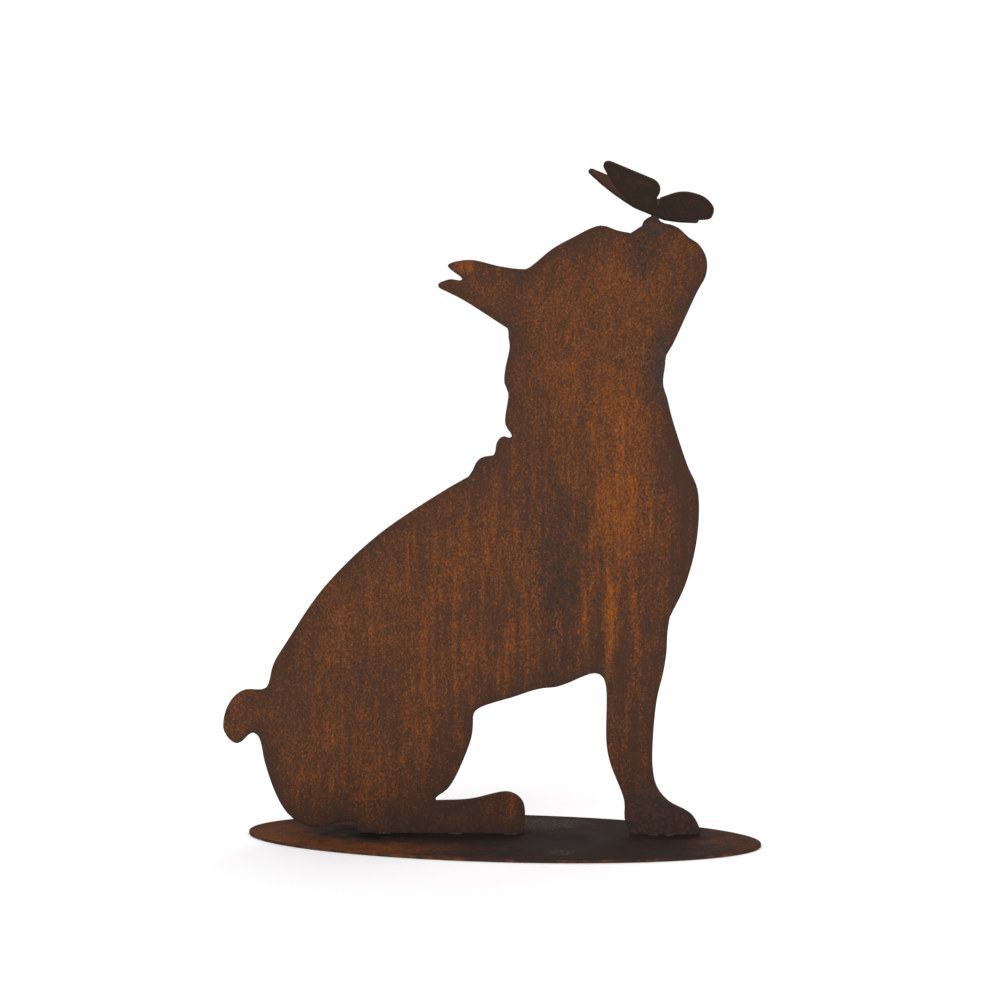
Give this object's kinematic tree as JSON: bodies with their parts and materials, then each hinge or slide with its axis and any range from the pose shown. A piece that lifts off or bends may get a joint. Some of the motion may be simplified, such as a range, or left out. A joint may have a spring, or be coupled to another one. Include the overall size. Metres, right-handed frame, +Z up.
{
  "type": "sheet steel dog garden figure",
  "caption": "Rusted sheet-steel silhouette of a sitting dog looking up at a butterfly on its nose, upright on an oval base plate.",
  "frame": {"origin": "middle of the base plate's underside, on the ground", "axes": "+Z up; +X along the dog's sheet, from its tail to its chest, the way it faces; +Y square to the sheet, to the back"},
  "size_m": [0.3564, 0.1424, 0.4443],
  "materials": {
    "base_rust": "matte",
    "dog_rust": "matte",
    "butterfly_rust": "matte"
  },
  "bodies": {
    "root": {"base_plate": "base_rust", "dog_silhouette": "dog_rust", "butterfly": "butterfly_rust"}
  },
  "joints": []
}
